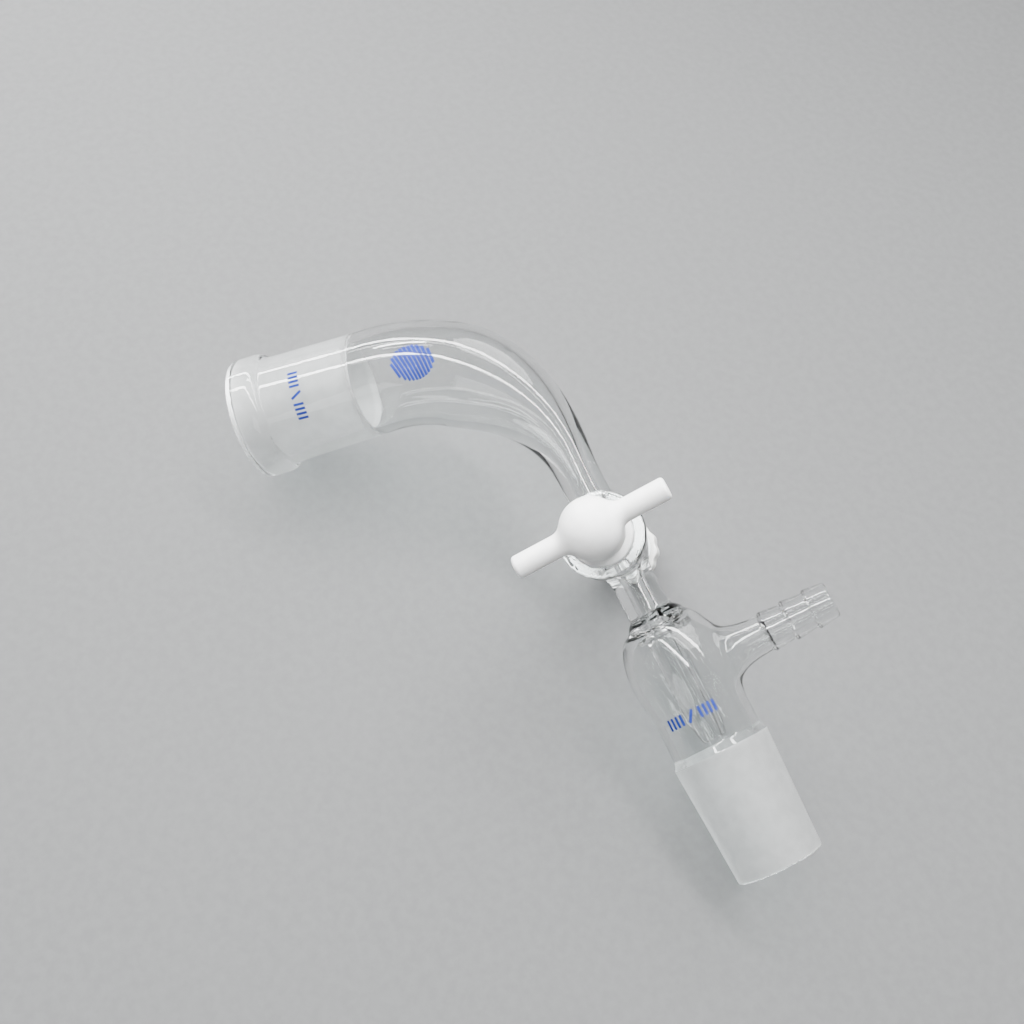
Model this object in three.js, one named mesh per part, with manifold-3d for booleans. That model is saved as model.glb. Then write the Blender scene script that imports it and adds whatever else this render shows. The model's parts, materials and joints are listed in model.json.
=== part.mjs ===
// Bent vacuum take-off adapter with a PTFE stopcock: a 24/29 ground socket opens into a bent tube that
// tapers to a thick-walled stem, a stopcock meters the flow, and a drip tube ends inside a bulb that
// carries a serrated hose connection and a 24/29 ground cone.
//
// Millimetres. The sub-parts are designed in one flat drawing: X towards the hose connection, Y up the
// flow axis, Z along the stopcock towards its handle, with the origin where the flow axis crosses the
// stopcock. The whole drawing is then laid on the bench: +Z up, +X along the flow axis towards the cone.
import * as THREE from "three";
import { mergeVertices } from "three/addons/utils/BufferGeometryUtils.js";
import Module from "manifold-3d";

const wasm = await Module();
wasm.setup();

// ---------------------------------------------------------------- driving dimensions
const GAP = 0.3; // between solids that are fused or touch on the real adapter
const SLIP_GAP = 0.15; // between the turning plug and its seat

const WIDE_SIDES = 28; // facets round the socket, bend, bulb and cone
const SMALL_SIDES = 24; // facets round the stems, the stopcock and the hose connection

// 24/29 standard taper: 24 mm at the wide end, 29 mm long, 1 in 10 on the diameter
const JOINT = { wideRadius: 12, length: 29, radiusPerMm: 1 / 20 };

// The arms stand 103 degrees apart: a hand bend, near the usual 105.
const BEND = {
  radius: 44, // of the centreline
  angle: THREE.MathUtils.degToRad(77), // turned through
  startY: 23.4, // where the straight stem ends and the arc begins
  tubeRadius: 13.4,
  wall: 1.8,
  taperBefore: 6, // the taper begins this far below the arc
  taperLength: 45.6, // along the centreline
  steps: 18,
};

const SOCKET = {
  mouthBeyondArc: 36.8, // straight run from the end of the arc to the mouth
  groundDepth: 32.3, // ground bore, from the mouth
  ledgeLength: 1.5, // from the wider tube bore down to the ground bore
  mouthRadius: 12.1,
  collarRadius: 16,
  collarLength: 8.4,
  beadLength: 2.6, // the rounded back of the collar
  beadSteps: 3,
  corner: 0.8,
  shankRadius: 14.35, // outside, just behind the collar
  endRadius: 13.7, // outside, where it is fused to the bend
};

const STEM = { radius: 5.3, boreRadius: 2, rootY: 0.5 }; // rootY is inside the barrel, and is cut away

const BARREL = {
  front: 19.6, // Z of the rim under the handle
  back: -17, // Z of the face that the tail washer seats on
  backRadius: 6.6, // just ahead of the back bead
  backBeadRadius: 7.3,
  backBeadLength: 1.4,
  backBeadNeck: 1.6, // from the bead to the back radius
  middleRadius: 8.3,
  neckRadius: 9.4, // just behind the rim
  rimRadius: 10.35,
  rimLength: 3,
  rimFlare: 1.6, // from the neck to the full rim
  corner: 0.7,
  portRadius: 2.2,
};

const PLUG = {
  middleRadius: 5.6, // of the 1 in 5 taper, on the flow axis
  radiusPerMm: 1 / 10,
  front: 20.4,
  back: -16.6,
  boreRadius: 2,
  neckRadius: 5.2,
  neckEnd: 22.6,
  spigotRadius: 3,
  spigotEnd: 31,
  tailRadius: 3.2,
  tailEnd: -29,
  tailChamfer: 0.4,
};

const HANDLE = {
  hubRadius: 6.4,
  hubStart: 22.9,
  ballRadius: 7.1,
  barHeight: 33, // Z of the ball and of the crossbar
  barRadius: 2.65,
  barLength: 37.8,
  barChamfer: 0.5,
  ballSteps: 8,
};

const WASHER = { thickness: 1.4, radius: 6.8 };
const O_RING = { sectionRadius: 1.1, middleRadius: 5.1, sectionSides: 10 };
const NUT = { length: 6.5, radius: 8.2, fluteDepth: 0.55, flutes: 12, pointsPerFlute: 4, faceChamfer: 0.5 };

const RING_SEAL = { top: -20.3, bottom: -22, topRadius: 5.9, bottomRadius: 7.2 };

const BULB = {
  bottom: -53.2,
  tubeRadius: 11.2,
  bellyRadius: 12.2,
  bellyY: -34,
  bellyLength: 12, // from the belly down to the tube
  bellySteps: 3,
  shoulderY: -22.3,
  shoulderRadius: 7.1,
  shoulderSteps: 6,
  wall: 1.8,
};

const DRIP_TUBE = {
  end: -52.5,
  radius: 4,
  tipRadius: 2.9,
  tipLength: 5,
  boreRadius: 2.2,
  tipBoreRadius: 1.8,
};

const CONE = { wideY: -55.3, bevel: 1.8, neckRadius: 11.2, wall: 1.9, polish: 0.4 };

const SIDE_ARM = {
  y: -35.9, // its axis leaves the bulb square to the flow axis
  rootX: 9.3,
  neckX: 21.7,
  neckRadius: 4.2,
  boreRadius: 2.7,
  flareHeight: 5.6, // how far the root spreads past the neck along the bulb
  flareWidth: 2.4, // and across it
  flareDecay: 3.8,
  steps: 8,
  stepGrowth: 1.4, // stations stand closer together at the root
};

const BARB = { ridges: 3, pitch: 5.75, ridgeRadius: 5, valleyRadius: 4.35, step: 0.35 };

// ---------------------------------------------------------------- finishes
const clearGlass = () => new THREE.MeshStandardMaterial({
  color: 0xdfe6e4, roughness: 0.05, metalness: 0, transparent: true, opacity: 0.45,
});
const groundGlass = () => new THREE.MeshStandardMaterial({
  color: 0xc9cccb, roughness: 0.7, metalness: 0, transparent: true, opacity: 0.8,
});
const ptfe = () => new THREE.MeshStandardMaterial({ color: 0xf3f3f0, roughness: 0.45, metalness: 0 });
const nutPlastic = () => new THREE.MeshStandardMaterial({ color: 0xe9e9e4, roughness: 0.4, metalness: 0 });
const rubber = () => new THREE.MeshStandardMaterial({ color: 0x2b2b2b, roughness: 0.8, metalness: 0 });

// ---------------------------------------------------------------- geometry helpers
const toVectors = (profile) => profile.map(([radius, along]) => new THREE.Vector2(radius, along));

// A ring of revolution round Y. The profile runs up the outside and down the inside, and is closed here.
function revolveRing(profile, sides) {
  return new THREE.LatheGeometry(toVectors([...profile, profile[0]]), sides);
}

// A solid of revolution round Y, whose profile starts and ends on the axis and runs upwards.
function revolveSolid(profile, sides) {
  return new THREE.LatheGeometry(toVectors(profile), sides);
}

const alongZ = (geometry) => geometry.rotateX(Math.PI / 2);
const alongX = (geometry) => geometry.rotateZ(-Math.PI / 2);

// A hollow tube whose elliptical section changes from station to station along a path in the XY plane.
// A station is { centre, direction, outer, inner }. Each of outer and inner holds two radii, the one in the
// plane and the one along Z.
function sweepShell(stations, sides) {
  const positions = [];
  const triangles = [];
  const zAxis = new THREE.Vector3(0, 0, 1);
  for (const station of stations) {
    const inPlane = new THREE.Vector3().crossVectors(station.direction, zAxis);
    for (const [a, b] of [station.outer, station.inner])
      for (let k = 0; k < sides; k++) {
        const turn = (k / sides) * 2 * Math.PI;
        const point = station.centre.clone();
        point.addScaledVector(inPlane, a * Math.cos(turn)).addScaledVector(zAxis, b * Math.sin(turn));
        positions.push(point.x, point.y, point.z);
      }
  }
  const vertex = (station, skin, k) => (station * 2 + skin) * sides + (k % sides);
  const quad = (a, b, c, d) => triangles.push(a, b, c, a, c, d);
  const last = stations.length - 1;
  for (let k = 0; k < sides; k++) {
    for (let i = 0; i < last; i++) {
      quad(vertex(i, 0, k), vertex(i + 1, 0, k), vertex(i + 1, 0, k + 1), vertex(i, 0, k + 1));
      quad(vertex(i, 1, k + 1), vertex(i + 1, 1, k + 1), vertex(i + 1, 1, k), vertex(i, 1, k));
    }
    quad(vertex(0, 0, k), vertex(0, 0, k + 1), vertex(0, 1, k + 1), vertex(0, 1, k));
    quad(vertex(last, 0, k + 1), vertex(last, 0, k), vertex(last, 1, k), vertex(last, 1, k + 1));
  }
  const geometry = new THREE.BufferGeometry();
  geometry.setAttribute("position", new THREE.Float32BufferAttribute(positions, 3));
  return geometry.setIndex(triangles);
}

function toSolid(geometry) {
  const bare = new THREE.BufferGeometry().setAttribute("position", geometry.getAttribute("position"));
  if (geometry.index) bare.setIndex(geometry.index);
  const merged = mergeVertices(bare, 1e-4);
  return new wasm.Manifold(
    new wasm.Mesh({
      numProp: 3,
      vertProperties: merged.attributes.position.array,
      triVerts: new Uint32Array(merged.index.array),
    }),
  );
}

function toGeometry(solid) {
  const mesh = solid.getMesh();
  const geometry = new THREE.BufferGeometry();
  geometry.setAttribute("position", new THREE.BufferAttribute(mesh.vertProperties, 3));
  return geometry.setIndex(new THREE.BufferAttribute(mesh.triVerts, 1));
}

const cut = (geometry, ...cutters) =>
  toGeometry(cutters.reduce((solid, cutter) => solid.subtract(toSolid(cutter)), toSolid(geometry)));

const join = (geometry, ...others) =>
  toGeometry(others.reduce((solid, other) => solid.add(toSolid(other)), toSolid(geometry)));

const smooth = (t) => THREE.MathUtils.smoothstep(t, 0, 1);

const assembly = new THREE.Group();
function addPart(name, geometry, material) {
  const mesh = new THREE.Mesh(geometry, material);
  mesh.name = name;
  assembly.add(mesh);
}

// ---------------------------------------------------------------- bent tube and socket
// The centreline: straight up the stem, round the arc towards -X, then straight to the socket's mouth.
const arcLength = BEND.radius * BEND.angle;
const arcCentre = new THREE.Vector3(-BEND.radius, BEND.startY, 0);
const socketDirection = new THREE.Vector3(-Math.sin(BEND.angle), Math.cos(BEND.angle), 0);

function centreline(s) {
  if (s <= 0)
    return { centre: new THREE.Vector3(0, BEND.startY + s, 0), direction: new THREE.Vector3(0, 1, 0) };
  const turned = Math.min(s / BEND.radius, BEND.angle);
  const outward = new THREE.Vector3(Math.cos(turned), Math.sin(turned), 0);
  const direction = new THREE.Vector3(-outward.y, outward.x, 0);
  const centre = arcCentre.clone().addScaledVector(outward, BEND.radius);
  centre.addScaledVector(direction, Math.max(0, s - arcLength));
  return { centre, direction };
}

const mouthS = arcLength + SOCKET.mouthBeyondArc;
const mouth = centreline(mouthS);

function bendTube() {
  const start = -BEND.taperBefore;
  const end = mouthS - SOCKET.groundDepth - GAP;
  const stemWall = STEM.radius - STEM.boreRadius;
  const stations = [];
  for (let i = 0; i <= BEND.steps; i++) {
    const s = start + ((end - start) * i) / BEND.steps;
    const opened = smooth((s - start) / BEND.taperLength);
    const outer = THREE.MathUtils.lerp(STEM.radius, BEND.tubeRadius, opened);
    const inner = outer - THREE.MathUtils.lerp(stemWall, BEND.wall, opened);
    stations.push({ ...centreline(s), outer: [outer, outer], inner: [inner, inner] });
  }
  return sweepShell(stations, WIDE_SIDES);
}

// The socket is turned about Y with its mouth up, then placed on the centreline.
function socketJoint() {
  const { groundDepth, collarRadius, collarLength, beadLength, beadSteps, corner } = SOCKET;
  const beadStart = beadLength - collarLength;
  const groundEndRadius = SOCKET.mouthRadius - groundDepth * JOINT.radiusPerMm;
  const boreRadius = BEND.tubeRadius - BEND.wall;
  const profile = [
    [boreRadius, -groundDepth],
    [SOCKET.endRadius, -groundDepth],
    [SOCKET.shankRadius, -collarLength],
  ];
  for (let i = 1; i <= beadSteps; i++) {
    const turn = (i / beadSteps) * (Math.PI / 2);
    const rise = (collarRadius - SOCKET.shankRadius) * Math.sin(turn);
    profile.push([SOCKET.shankRadius + rise, beadStart - beadLength * Math.cos(turn)]);
  }
  profile.push(
    [collarRadius, -corner],
    [collarRadius - corner, 0],
    [SOCKET.mouthRadius + corner, 0],
    [SOCKET.mouthRadius, -corner],
    [groundEndRadius, SOCKET.ledgeLength - groundDepth],
  );
  const geometry = revolveRing(profile, WIDE_SIDES);
  const turn = new THREE.Quaternion().setFromUnitVectors(new THREE.Vector3(0, 1, 0), socketDirection);
  return geometry.applyQuaternion(turn).translate(...mouth.centre.toArray());
}

// ---------------------------------------------------------------- stopcock
const plugRadiusAt = (z) => PLUG.middleRadius + PLUG.radiusPerMm * z;

// The barrel's skin from back to front, as [radius, Z], moved outwards by margin.
function barrelOutside(margin) {
  const { back, front, corner } = BARREL;
  const backBeadFront = back + BARREL.backBeadLength;
  const rimBack = front - BARREL.rimLength + BARREL.rimFlare / 2;
  return [
    [BARREL.backBeadRadius - corner + margin, back - margin],
    [BARREL.backBeadRadius + margin, back + corner],
    [BARREL.backBeadRadius + margin, backBeadFront],
    [BARREL.backRadius + margin, backBeadFront + BARREL.backBeadNeck],
    [BARREL.middleRadius + margin, 0],
    [BARREL.neckRadius + margin, rimBack - BARREL.rimFlare],
    [BARREL.rimRadius + margin, rimBack],
    [BARREL.rimRadius + margin, front - corner],
    [BARREL.rimRadius - corner + margin, front + margin],
  ];
}

function barrelEnvelope() {
  const outside = barrelOutside(GAP);
  const [low, high] = [outside[0][1], outside.at(-1)[1]];
  return alongZ(revolveSolid([[0, low], ...outside, [0, high]], WIDE_SIDES));
}

const crossDrill = (radius, reach) => new THREE.CylinderGeometry(radius, radius, 2 * reach, SMALL_SIDES);

function stopcockBarrel() {
  const bore = [BARREL.front, BARREL.back].map((z) => [plugRadiusAt(z) + SLIP_GAP, z]);
  const blank = alongZ(revolveRing([...barrelOutside(0), ...bore], WIDE_SIDES));
  return cut(blank, crossDrill(BARREL.portRadius, 2 * BARREL.middleRadius));
}

// A thick-walled tube along Y, whose end inside the barrel is cut to fit round it.
function stem(lowY, highY) {
  const { radius, boreRadius } = STEM;
  const profile = [[radius, lowY], [radius, highY], [boreRadius, highY], [boreRadius, lowY]];
  return cut(revolveRing(profile, SMALL_SIDES), barrelEnvelope());
}

function stopcockPlug() {
  const blank = alongZ(revolveSolid([
    [0, PLUG.tailEnd],
    [PLUG.tailRadius - PLUG.tailChamfer, PLUG.tailEnd],
    [PLUG.tailRadius, PLUG.tailEnd + PLUG.tailChamfer],
    [PLUG.tailRadius, PLUG.back],
    [plugRadiusAt(PLUG.back), PLUG.back],
    [plugRadiusAt(PLUG.front), PLUG.front],
    [PLUG.neckRadius, PLUG.front],
    [PLUG.neckRadius, PLUG.neckEnd],
    [PLUG.spigotRadius, PLUG.neckEnd],
    [PLUG.spigotRadius, PLUG.spigotEnd],
    [0, PLUG.spigotEnd],
  ], WIDE_SIDES));
  return cut(blank, alongX(crossDrill(PLUG.boreRadius, 2 * PLUG.middleRadius)));
}

// A ball on a short hub with the crossbar moulded through it, bored from below for the plug's spigot.
function teeHandle() {
  const { hubRadius, hubStart, ballRadius, ballSteps, barHeight, barRadius, barLength, barChamfer } = HANDLE;
  const firstTurn = Math.asin(hubRadius / ballRadius);
  const head = [[0, hubStart], [hubRadius, hubStart]];
  for (let i = 0; i < ballSteps; i++) {
    const turn = Math.PI - firstTurn - ((Math.PI - firstTurn) * i) / ballSteps;
    head.push([ballRadius * Math.sin(turn), barHeight + ballRadius * Math.cos(turn)]);
  }
  head.push([0, barHeight + ballRadius]);
  const half = barLength / 2;
  const bar = revolveSolid([
    [0, -half],
    [barRadius - barChamfer, -half],
    [barRadius, barChamfer - half],
    [barRadius, half - barChamfer],
    [barRadius - barChamfer, half],
    [0, half],
  ], SMALL_SIDES / 2);
  const blank = join(alongZ(revolveSolid(head, SMALL_SIDES)), alongX(bar).translate(0, 0, barHeight));
  const socketRadius = PLUG.spigotRadius + GAP;
  const socketEnd = PLUG.spigotEnd + GAP;
  const below = hubStart - GAP;
  const profile = [[0, below], [socketRadius, below], [socketRadius, socketEnd], [0, socketEnd]];
  return cut(blank, alongZ(revolveSolid(profile, SMALL_SIDES)));
}

// The tail carries a washer, an O-ring and the nut, one behind the other, at falling Z.
const washerFront = BARREL.back - GAP;
const ringMiddle = washerFront - WASHER.thickness - GAP - O_RING.sectionRadius;
const nutFront = ringMiddle - O_RING.sectionRadius - GAP;
const nutBack = nutFront - NUT.length;
const tailClearance = PLUG.tailRadius + GAP;

function tailWasher() {
  const back = washerFront - WASHER.thickness;
  return alongZ(revolveRing([
    [WASHER.radius, back],
    [WASHER.radius, washerFront],
    [tailClearance, washerFront],
    [tailClearance, back],
  ], SMALL_SIDES));
}

function tailORing() {
  const { middleRadius, sectionRadius, sectionSides } = O_RING;
  const section = [];
  for (let i = 0; i < sectionSides; i++) {
    const turn = (i / sectionSides) * 2 * Math.PI;
    const radius = middleRadius + sectionRadius * Math.cos(turn);
    section.push([radius, ringMiddle + sectionRadius * Math.sin(turn)]);
  }
  return alongZ(revolveRing(section, SMALL_SIDES));
}

// The rim of the nut waves in and out once for each flute.
function lockNut() {
  const outline = new THREE.Shape();
  const points = [];
  const count = NUT.flutes * NUT.pointsPerFlute;
  for (let i = 0; i < count; i++) {
    const turn = (i / count) * 2 * Math.PI;
    const wave = (1 - Math.cos(turn * NUT.flutes)) / 2;
    const radius = NUT.radius - NUT.fluteDepth * wave - NUT.faceChamfer;
    points.push(new THREE.Vector2(radius * Math.cos(turn), radius * Math.sin(turn)));
  }
  outline.setFromPoints(points);
  const bevel = NUT.faceChamfer;
  const blank = new THREE.ExtrudeGeometry(outline, {
    depth: NUT.length - 2 * bevel,
    bevelEnabled: true,
    bevelThickness: bevel,
    bevelSize: bevel,
    bevelSegments: 1,
  });
  blank.translate(0, 0, nutBack + bevel);
  const bore = alongZ(new THREE.CylinderGeometry(tailClearance, tailClearance, 4 * NUT.length, SMALL_SIDES));
  return cut(blank, bore.translate(0, 0, nutBack));
}

// ---------------------------------------------------------------- bulb, drip tube, side arm and cone
// The bulb's skin from the bottom to the shoulder, as [radius, Y], moved outwards by margin.
function bulbSkin(margin) {
  const { tubeRadius, bellyRadius, bellyY, bellyLength, bellySteps } = BULB;
  const { shoulderY, shoulderRadius, shoulderSteps } = BULB;
  const skin = [[tubeRadius + margin, BULB.bottom]];
  for (let i = 0; i <= bellySteps; i++) {
    const t = i / bellySteps;
    const radius = THREE.MathUtils.lerp(tubeRadius, bellyRadius, smooth(t));
    skin.push([radius + margin, bellyY - bellyLength * (1 - t)]);
  }
  for (let i = 1; i <= shoulderSteps; i++) {
    const turn = (i / shoulderSteps) * (Math.PI / 2);
    const radius = shoulderRadius + (bellyRadius - shoulderRadius) * Math.cos(turn);
    skin.push([radius + margin, bellyY + (shoulderY + margin - bellyY) * Math.sin(turn)]);
  }
  return skin;
}

function receiverBulb() {
  const outside = bulbSkin(0);
  const inside = bulbSkin(-BULB.wall).reverse();
  return cut(revolveRing([...outside, ...inside], WIDE_SIDES), sideArmPassage());
}

function bulbEnvelope() {
  const outside = bulbSkin(GAP);
  return revolveSolid([[0, outside[0][1]], ...outside, [0, outside.at(-1)[1]]], WIDE_SIDES);
}

// Radii of the side arm's trumpet-shaped root at x: [along the bulb, across the bulb].
function sideArmRadii(x, neckRadius) {
  const spread = Math.exp((SIDE_ARM.rootX - x) / SIDE_ARM.flareDecay);
  return [neckRadius + SIDE_ARM.flareHeight * spread, neckRadius + SIDE_ARM.flareWidth * spread];
}

function sideArmStations() {
  const stations = [];
  for (let i = 0; i <= SIDE_ARM.steps; i++) {
    const share = (i / SIDE_ARM.steps) ** SIDE_ARM.stepGrowth;
    const x = THREE.MathUtils.lerp(SIDE_ARM.rootX, SIDE_ARM.neckX, share);
    stations.push({
      centre: new THREE.Vector3(x, SIDE_ARM.y, 0),
      direction: new THREE.Vector3(1, 0, 0),
      outer: sideArmRadii(x, SIDE_ARM.neckRadius),
      inner: sideArmRadii(x, SIDE_ARM.boreRadius),
    });
  }
  return stations;
}

// The hole in the bulb's wall: an elliptical opening as wide as the root's bore where it leaves the wall.
function sideArmPassage() {
  const [height, width] = sideArmRadii(BULB.bellyRadius - BULB.wall, SIDE_ARM.boreRadius);
  const passage = new THREE.CylinderGeometry(1, 1, BULB.bellyRadius, SMALL_SIDES);
  passage.scale(height, 1, width);
  return alongX(passage).translate(BULB.bellyRadius, SIDE_ARM.y, 0);
}

const sideArmRoot = () => cut(sweepShell(sideArmStations(), SMALL_SIDES), bulbEnvelope());

function hoseBarb() {
  const start = SIDE_ARM.neckX + GAP;
  const outside = [];
  for (let i = 0; i < BARB.ridges; i++) {
    const x = start + i * BARB.pitch;
    outside.push([BARB.valleyRadius, x], [BARB.ridgeRadius, x + BARB.step]);
  }
  const tip = start + BARB.ridges * BARB.pitch;
  outside.push([BARB.valleyRadius, tip], [SIDE_ARM.boreRadius, tip], [SIDE_ARM.boreRadius, start]);
  return alongX(revolveRing(outside, SMALL_SIDES)).translate(0, SIDE_ARM.y, 0);
}

function ringSeal() {
  const { top, bottom, topRadius, bottomRadius } = RING_SEAL;
  return revolveRing([
    [bottomRadius, bottom],
    [topRadius, top],
    [STEM.boreRadius, top],
    [STEM.boreRadius, bottom],
  ], SMALL_SIDES);
}

function dripTube() {
  const { end, radius, tipRadius, tipLength, boreRadius, tipBoreRadius } = DRIP_TUBE;
  const top = RING_SEAL.bottom - GAP;
  return revolveRing([
    [tipRadius, end],
    [radius, end + tipLength],
    [radius, top],
    [boreRadius, top],
    [boreRadius, end + tipLength],
    [tipBoreRadius, end],
  ], SMALL_SIDES);
}

function coneJoint() {
  const { wideY, bevel, neckRadius, wall, polish } = CONE;
  const tipY = wideY - JOINT.length;
  const tipRadius = JOINT.wideRadius - JOINT.length * JOINT.radiusPerMm;
  const boreRadius = tipRadius - wall;
  const top = BULB.bottom - GAP;
  return revolveRing([
    [tipRadius - polish, tipY],
    [tipRadius, tipY + polish],
    [JOINT.wideRadius, wideY],
    [neckRadius, wideY + bevel],
    [neckRadius, top],
    [BULB.tubeRadius - BULB.wall, top],
    [boreRadius, tipY + polish],
    [boreRadius + polish, tipY],
  ], WIDE_SIDES);
}

// ---------------------------------------------------------------- assembly
addPart("socket_joint", socketJoint(), groundGlass());
addPart("bend_tube", bendTube(), clearGlass());
addPart("upper_stem", stem(STEM.rootY, BEND.startY - BEND.taperBefore - GAP), clearGlass());
addPart("stopcock_barrel", stopcockBarrel(), clearGlass());
addPart("lower_stem", stem(RING_SEAL.top + GAP, -STEM.rootY), clearGlass());
addPart("ring_seal", ringSeal(), clearGlass());
addPart("drip_tube", dripTube(), clearGlass());
addPart("receiver_bulb", receiverBulb(), clearGlass());
addPart("side_arm_root", sideArmRoot(), clearGlass());
addPart("hose_barb", hoseBarb(), clearGlass());
addPart("cone_joint", coneJoint(), groundGlass());
addPart("stopcock_plug", stopcockPlug(), ptfe());
addPart("tee_handle", teeHandle(), ptfe());
addPart("tail_washer", tailWasher(), ptfe());
addPart("tail_o_ring", tailORing(), rubber());
addPart("lock_nut", lockNut(), nutPlastic());

// ---------------------------------------------------------------- laid on the bench
// It rests on three round edges: the socket's collar, the cone's tip and the nut's outer face. The upward
// direction is the normal of the plane through the lowest point of each, found by a few repeats.
const restingEdges = [
  {
    centre: mouth.centre.clone().addScaledVector(socketDirection, -SOCKET.corner),
    axis: socketDirection,
    radius: SOCKET.collarRadius,
  },
  {
    centre: new THREE.Vector3(0, CONE.wideY - JOINT.length + CONE.polish, 0),
    axis: new THREE.Vector3(0, 1, 0),
    radius: JOINT.wideRadius - JOINT.length * JOINT.radiusPerMm,
  },
  {
    centre: new THREE.Vector3(0, 0, nutBack + NUT.faceChamfer),
    axis: new THREE.Vector3(0, 0, 1),
    radius: NUT.radius,
  },
];

function lowestPoint({ centre, axis, radius }, up) {
  const towardsBench = up.clone().projectOnPlane(axis).normalize();
  return centre.clone().addScaledVector(towardsBench, -radius);
}

function upwardAtRest() {
  const up = new THREE.Vector3(0, 0, 1);
  const bench = new THREE.Plane();
  const repeats = 40;
  for (let i = 0; i < repeats; i++) {
    const [socketPoint, conePoint, nutPoint] = restingEdges.map((edge) => lowestPoint(edge, up));
    bench.setFromCoplanarPoints(socketPoint, conePoint, nutPoint);
    up.copy(bench.normal.z < 0 ? bench.normal.negate() : bench.normal);
  }
  return up;
}

const up = upwardAtRest();
const towardsCone = new THREE.Vector3(0, -1, 0).projectOnPlane(up).normalize();
const sideways = new THREE.Vector3().crossVectors(up, towardsCone);
const benchToDrawing = new THREE.Matrix4().makeBasis(towardsCone, sideways, up);
assembly.quaternion.setFromRotationMatrix(benchToDrawing.transpose());

// The origin is at the middle of the bounding box's base.
const adapter = new THREE.Group();
adapter.add(assembly);
adapter.updateMatrixWorld(true);
const box = new THREE.Box3().setFromObject(adapter, true);
const middle = box.getCenter(new THREE.Vector3());
assembly.position.set(-middle.x, -middle.y, -box.min.z);

export default adapter;
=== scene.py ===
import json
import math

import bmesh
import bpy
import numpy as np
from mathutils import Matrix, Vector


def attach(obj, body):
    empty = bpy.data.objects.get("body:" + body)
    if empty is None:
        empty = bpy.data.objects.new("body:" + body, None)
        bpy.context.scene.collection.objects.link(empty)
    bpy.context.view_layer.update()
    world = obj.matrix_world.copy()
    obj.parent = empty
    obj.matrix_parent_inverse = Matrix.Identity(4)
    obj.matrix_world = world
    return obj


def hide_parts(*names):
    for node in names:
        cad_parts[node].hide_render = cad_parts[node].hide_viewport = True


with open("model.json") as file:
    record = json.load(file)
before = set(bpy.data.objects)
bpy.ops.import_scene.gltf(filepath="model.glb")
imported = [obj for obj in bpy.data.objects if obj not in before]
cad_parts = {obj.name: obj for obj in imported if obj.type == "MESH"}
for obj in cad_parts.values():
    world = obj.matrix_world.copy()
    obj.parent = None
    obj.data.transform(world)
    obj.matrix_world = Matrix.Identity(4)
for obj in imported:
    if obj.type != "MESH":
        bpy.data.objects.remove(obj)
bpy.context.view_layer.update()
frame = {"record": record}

# ---------------------------------------------------------------- the drawing frame
# Shapes are worked out in millimetres in the adapter's own frame: X towards the hose connection, Y up
# the flow axis, Z along the stopcock towards its handle, with the origin where the two axes cross. The
# record gives that frame: the plug's axis is Z, the hose end faces X and the cone's tip faces -Y.
MM = 0.001
joints = {joint["name"]: joint for joint in frame["record"]["behaviour"]["joints"]}
mounts = {mount["name"]: mount for mount in frame["record"]["mounts"]}
ORIGIN = np.array(joints["plug_turn"]["pos_m"])
AXES = np.array([
    mounts["hose_end"]["axis"],
    [-component for component in mounts["cone_tip"]["axis"]],
    joints["plug_turn"]["axis"],
])


def to_bench(points):
    """Points in the drawing frame, in mm, as points on the bench, in metres."""
    return ORIGIN + MM * np.asarray(points, float) @ AXES


def direction_to_bench(vector):
    return Vector(np.asarray(vector, float) @ AXES).normalized()


# ---------------------------------------------------------------- driving dimensions, mm
STEM = {"radius": 5.3, "bore": 2.0}
BEND = {
    "radius": 44.0,  # of the centreline
    "angle": math.radians(77),
    "start_y": 23.4,
    "tube": 13.4,
    "wall": 1.8,
    "taper_before": 6.0,
    "taper_length": 45.6,
    "step": 1.2,  # between an outline's points along the taper
}
SOCKET = {
    "beyond_arc": 36.8,
    "ground_depth": 32.3,
    "mouth": 12.1,
    "collar": 16.0,
    "collar_length": 8.4,
    "bead": 2.6,
    "bead_steps": 8,
    "corner": 0.8,
    "shank": 14.35,
    "shank_corner": 0.6,
    "end": 13.7,
    "ledge": 1.5,
    "ledge_fillet": 1.2,
}
GROUND_TAPER = 1 / 20  # radius lost per mm of a standard taper joint
BARREL = {
    "front": 19.6,
    "back": -17.0,
    "back_radius": 6.6,
    "middle": 8.3,
    "neck": 9.4,
    "neck_end": 0.8,  # behind the rim's back
    "neck_fillet": 1.2,
    "rim": 10.35,
    "rim_length": 3.0,
    "rim_rise": 0.4,  # in front of the rim's back
    "rim_corner": 0.9,
    "lip": 0.6,
    "lip_corner": 0.7,
    "bead": 0.7,
    "bead_middle": 1.8,
    "bead_corner": 0.8,
    "bead_length": 3.0,
    "waist_fillet": 2.0,
    "middle_fillet": 8.0,
    "bore_run_out": 2.0,
}
PLUG = {
    "middle": 5.6,
    "taper": 1 / 10,
    "front": 20.4,
    "back": -16.6,
    "bore": 2.0,
    "neck": 5.2,
    "neck_end": 22.6,
    "spigot": 3.0,
    "spigot_end": 31.0,
    "tail": 3.2,
    "tail_end": -29.0,
    "thread_pitch": 1.5,
    "thread_depth": 0.4,
    "clearance": 0.15,
    "back_corner": 0.3,
    "front_corner": 0.5,
    "neck_fillet": 0.4,
    "step_corner": 0.2,
    "spigot_corner": 0.4,
    "tail_root": 1.0,
    "tail_corner": 0.6,
}
HANDLE = {
    "hub": 6.4,
    "hub_start": 22.9,
    "ball": 7.1,
    "bar_height": 33.0,
    "bar": 2.65,
    "bar_length": 37.8,
    "corner": 0.8,
    "hub_corner": 0.6,
    "socket": 3.3,
    "socket_end": 31.3,
}
WASHER = {
    "front": -17.3,
    "thickness": 1.4,
    "radius": 6.8,
    "bore": 3.5,
    "outer_corner": 0.3,
    "inner_corner": 0.2,
}
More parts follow.
